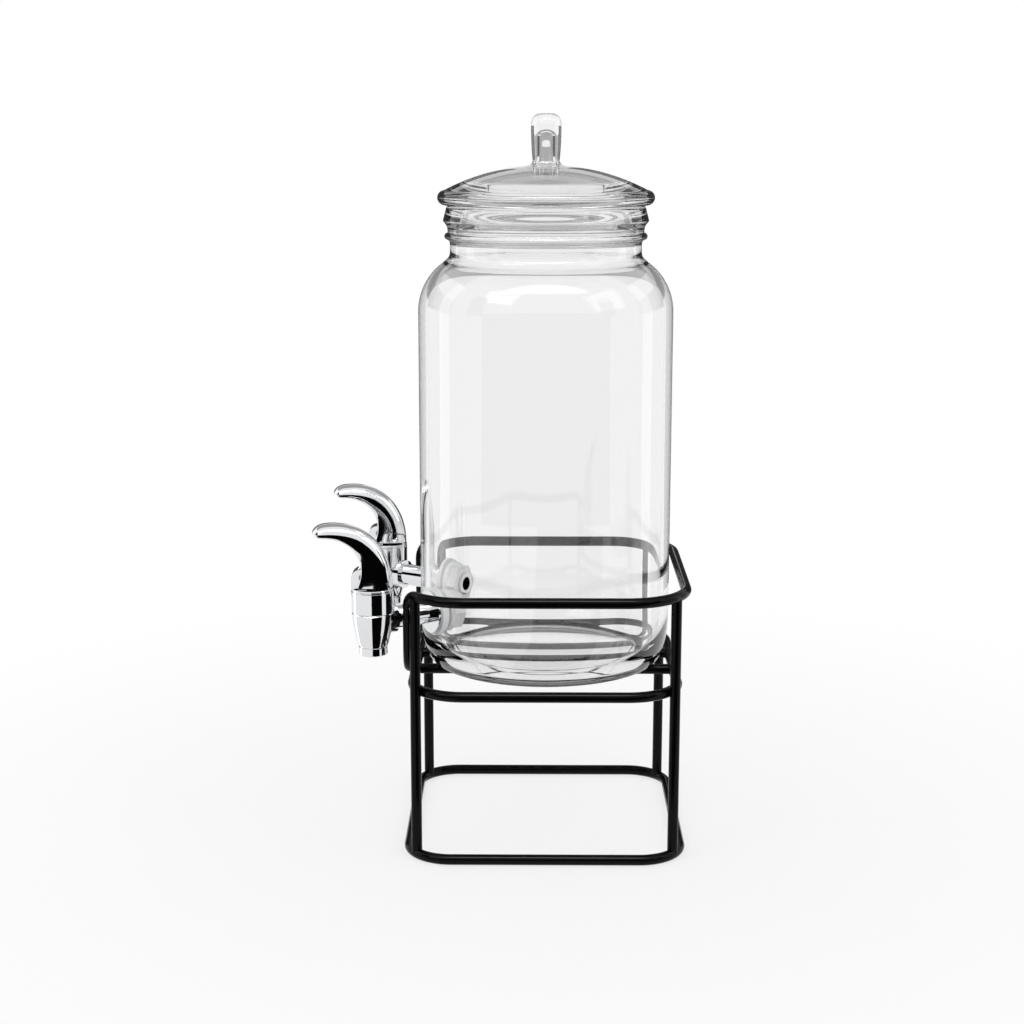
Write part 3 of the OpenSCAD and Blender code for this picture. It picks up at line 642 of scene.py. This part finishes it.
def lid_profile():
    """Lid from the knob's top over the dome, rim and collar to the top of the knob's hollow."""
    edge_r, edge_z = LID_R - DOME_EDGE_IN, REST_GAP + 2 * LID_RIM_R - DOME_EDGE_DROP
    dome_z = edge_z - math.sqrt(DOME_R ** 2 - edge_r ** 2)
    top, under = dome_z + DOME_R, dome_z + DOME_R - DOME_WALL
    flare_x, rim_x, bore_z = KNOB_R + FLARE_OUT, LID_R - LID_RIM_R, LID_H - BORE_CAP
    collar_out = NECK_IN_R - COLLAR_GAP
    collar_in, e = collar_out - COLLAR_WALL, COLLAR_EDGE
    knob = ([(0, LID_H)]
            + arc(KNOB_R - KNOB_CROWN_W, LID_H - KNOB_CROWN_H, KNOB_CROWN_W, KNOB_CROWN_H, 90, 0, 8)
            + [(KNOB_R, LID_H - KNOB_SIDE_DROP), (KNOB_R - KNOB_SLIM, top + KNOB_SLIM_UP)]
            + arc(flare_x, top + FLARE_UP, FLARE_R, FLARE_R, 180, 250, 6))
    dome = on_dome(DOME_R, dome_z, even(flare_x, rim_x + DOME_PAST_RIM, 16)[1:])
    rim = arc(rim_x, REST_GAP + LID_RIM_R, LID_RIM_R, LID_RIM_R, 80, -90, 24)
    collar = [(collar_out + e, REST_GAP), (collar_out, REST_GAP - e),
              (collar_out, e - COLLAR_H), (collar_out - e, -COLLAR_H),
              (collar_in + 2 * e, -COLLAR_H), (collar_in + e, e - COLLAR_H)]
    hollow = on_dome(DOME_R - DOME_WALL, dome_z, even(collar_in, KNOB_R - BORE_EDGE_IN, 12))
    bore = ([(KNOB_R - BORE_EASE_IN, under + BORE_EASE_UP), (BORE_R, under + BORE_FOOT_UP),
             (BORE_R, bore_z)] + arc(0, bore_z, BORE_R, BORE_R, 15, 90, 6))
    return knob + dome + rim + collar + hollow + bore


def build_lid(glass):
    """The lid and its hollow knob as one smooth turned glass."""
    lid = lathe("lid_glass", soften(lid_profile())[::-1], MOUTH_Z, glass)
    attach(lid, "lid")
    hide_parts("lid")
    lid.visible_shadow = False


# Lever and return spring

def weighted(weights, points):
    """The sum of the points, each times its weight."""
    return [sum(w * p[i] for w, p in zip(weights, points)) for i in (0, 1)]


def lever_line(s):
    """Place and direction on the lever's cubic curve, from its foot at 0 to its tip at 1."""
    t = 1 - s
    legs = [(b[0] - a[0], b[1] - a[1]) for a, b in zip(LEVER_CURVE, LEVER_CURVE[1:])]
    place = weighted((t ** 3, 3 * t * t * s, 3 * t * s * s, s ** 3), LEVER_CURVE)
    return place, Vector(weighted((t * t, 2 * t * s, s * s), legs)).normalized()


def lever_ring(s, n=40):
    """One section of the hollow lever: over its crown from rim to rim, then back along the hollow."""
    (y, z), way = lever_line(s)
    tip = math.sqrt(1 - ramp(s, LEVER_BODY, 1 - LEVER_BODY) ** 2)
    h = tip * (LEVER_END + (LEVER_FOOT - LEVER_END) * (1 - s) ** LEVER_TAPER)
    even_h = tip * (LEVER_FOOT + (LEVER_END - LEVER_FOOT) * s)
    lift = even_h - h + LEVER_CROWN * math.sin(math.pi * s) ** 2
    waist = LEVER_WAIST * math.sin(math.pi * ramp(s, *WAIST_SPAN)) ** 2
    w = (LEVER_TIP_W + (1 - LEVER_TIP_W) * tip) * (LEVER_HALF_W - waist)
    roll = min(RIM_ROLL, RIM_ROLL_SHARE * h) * (1 - RIM_ROLL_LOST * ramp(s, *ROLL_SPAN))
    hollow = (1 + math.cos(math.pi * ramp(s, *HOLLOW_SPAN))) / 2
    rounder = (1 - math.cos(math.pi * ramp(s, *ROUND_SPAN))) / 2
    roundness = FOOT_ROUND + (TIP_ROUND - FOOT_ROUND) * rounder

    def bulge(v):
        return math.copysign(abs(v) ** roundness, v)

    rim_turn = math.radians(RIM_TURN)
    mid = roll - h
    rim = mid - roll * bulge(math.sin(rim_turn))
    depth = max(HOLLOW_LEAST, (h - LEVER_WALL - rim) * hollow)
    section = []
    for a in even(-rim_turn, math.pi + rim_turn, n):
        rise = 2 * h - roll if math.sin(a) > 0 else roll
        section.append((w * bulge(math.cos(a)), mid + rise * bulge(math.sin(a))))
    for a in even(math.pi, 0, n):
        section.append(((w - LEVER_WALL) * bulge(math.cos(a)), rim + depth * bulge(abs(math.sin(a)))))
    return [(u, y + (v + lift) * way[1], z - (v + lift) * way[0]) for u, v in section]


def build_lever(side, name, chrome):
    """The hollow cast lever, lofted closely so that its reflections flow."""
    turns = [math.radians(TIP_STEP * k) for k in range(1, TIP_STEPS + 1)]
    steps = even(0, LEVER_BODY, LEVER_STEPS)
    steps += [LEVER_BODY + (1 - LEVER_BODY) * math.sin(a) for a in turns]
    rings = [lever_ring(s) for s in steps]
    n, last = len(rings[0]), len(rings) - 1
    verts = [v for ring in rings for v in ring]
    faces = [(i * n + j, i * n + (j + 1) % n, (i + 1) * n + (j + 1) % n, (i + 1) * n + j)
             for i in range(last) for j in range(n)]
    for j in range(n // 2 - 1):
        faces.append((n - 1 - j, n - 2 - j, j + 1, j))
        faces.append(tuple(last * n + k for k in (j, j + 1, n - 2 - j, n - 1 - j)))
    lever = mesh_piece(f"lever_cast_{name}", verts, faces, chrome)
    play = CROSS_R + MOVE_GAP
    cut_out(lever, [
        block("foot_cut", (-CUT_X, -CUT_Y, FOOT_GAP - CUT_X), (CUT_X, CUT_Y, FOOT_GAP), chrome),
        rod("pin_cut", PIVOT_R, (-CUT_X, -PIVOT_Y, PIVOT_Z), (PIN_HALF, -PIVOT_Y, PIVOT_Z), chrome),
        block("pocket_cut", (-PIN_HALF, -play, PIVOT_Z - play),
              (PIN_HALF, play + POCKET_SLACK, PIVOT_Z + play), chrome)])
    tap = tap_frame(side).translation
    lever.data.transform(Matrix.Translation(Vector((tap.x, tap.y, HEAD_Z)) * MM))
    lever.data.set_sharp_from_angle(angle=math.radians(SHARP_FROM))
    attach(lever, f"lever_{name}")
    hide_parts(f"lever_{name}")


def build_spring(side, name, steel):
    """The return spring, wound as a helix at one fixed length and attached to the valve's body."""
    n, rings = SPRING_SIDES, SPRING_TURNS * SPRING_STEPS
    wire_r = SPRING_WIRE / 2
    verts, faces = [], []
    for i, rise in enumerate(even(SPRING_LOW, SPRING_HIGH, rings)):
        t = math.tau * SPRING_TURNS * i / rings
        for j in range(n):
            a = math.tau * j / n
            q = SPRING_R + wire_r * math.cos(a)
            verts.append((q * math.cos(t), q * math.sin(t), rise + wire_r * math.sin(a)))
    for i in range(rings):
        for j in range(n):
            k = (j + 1) % n
            faces.append((i * n + j, (i + 1) * n + j, (i + 1) * n + k, i * n + k))
    faces += [tuple(range(n)), tuple(range((rings + 1) * n - 1, rings * n - 1, -1))]
    place = tap_frame(side)
    spring = mesh_piece(f"spring_wound_{name}", [place @ Vector(v) for v in verts], faces, steel)
    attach(spring, f"valve_{name}")
    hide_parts(f"return_spring_{name}")
    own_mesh(spring)


# The studio, the finishes of the CAD nodes, and the pieces that replace some of them
set_camera()
build_surround()
build_cards()
soft_box("key_box", (1.6, -1.8, 2.4), 1.4, 14)
soft_box("fill_box", (1.2, 2.2, 1.8), 1.6, 8)

enamel = black_enamel()
chrome = chrome_plate()
steel = stainless_steel()
silicone = pale_moulding("moulded_silicone", "#F6F7F7", 0.42)
nylon = pale_moulding("moulded_nylon", "#F8F8F7", 0.3)
jar_glass = soda_lime_glass("pressed_soda_lime_glass_jar", 45, JAR_DEPTH)
lid_glass = soda_lime_glass("pressed_soda_lime_glass_lid", 30, LID_DEPTH)

finishes = {
    "guard_rail": enamel, "seat_ring": enamel, "base_ring": enamel, "leg": enamel,
    "crossbar": enamel, "glass_jar": jar_glass, "lid": lid_glass, "tap_body": chrome,
    "bonnet": chrome, "lever": chrome, "lever_pin": steel, "valve_stem": steel,
    "stem_pin": steel, "seat_cup": silicone, "return_spring": steel,
    "outer_washer": silicone, "inner_washer": silicone, "clamp_nut": nylon}
for name, node in nodes.items():
    kind = max((k for k in finishes if name.startswith(k)), key=len)
    for slot in node.material_slots:
        slot.material = finishes[kind]

build_jar(jar_glass)
build_lid(lid_glass)
for side, name in ((1, "right"), (-1, "left")):
    build_lever(side, name, chrome)
    build_spring(side, name, steel)
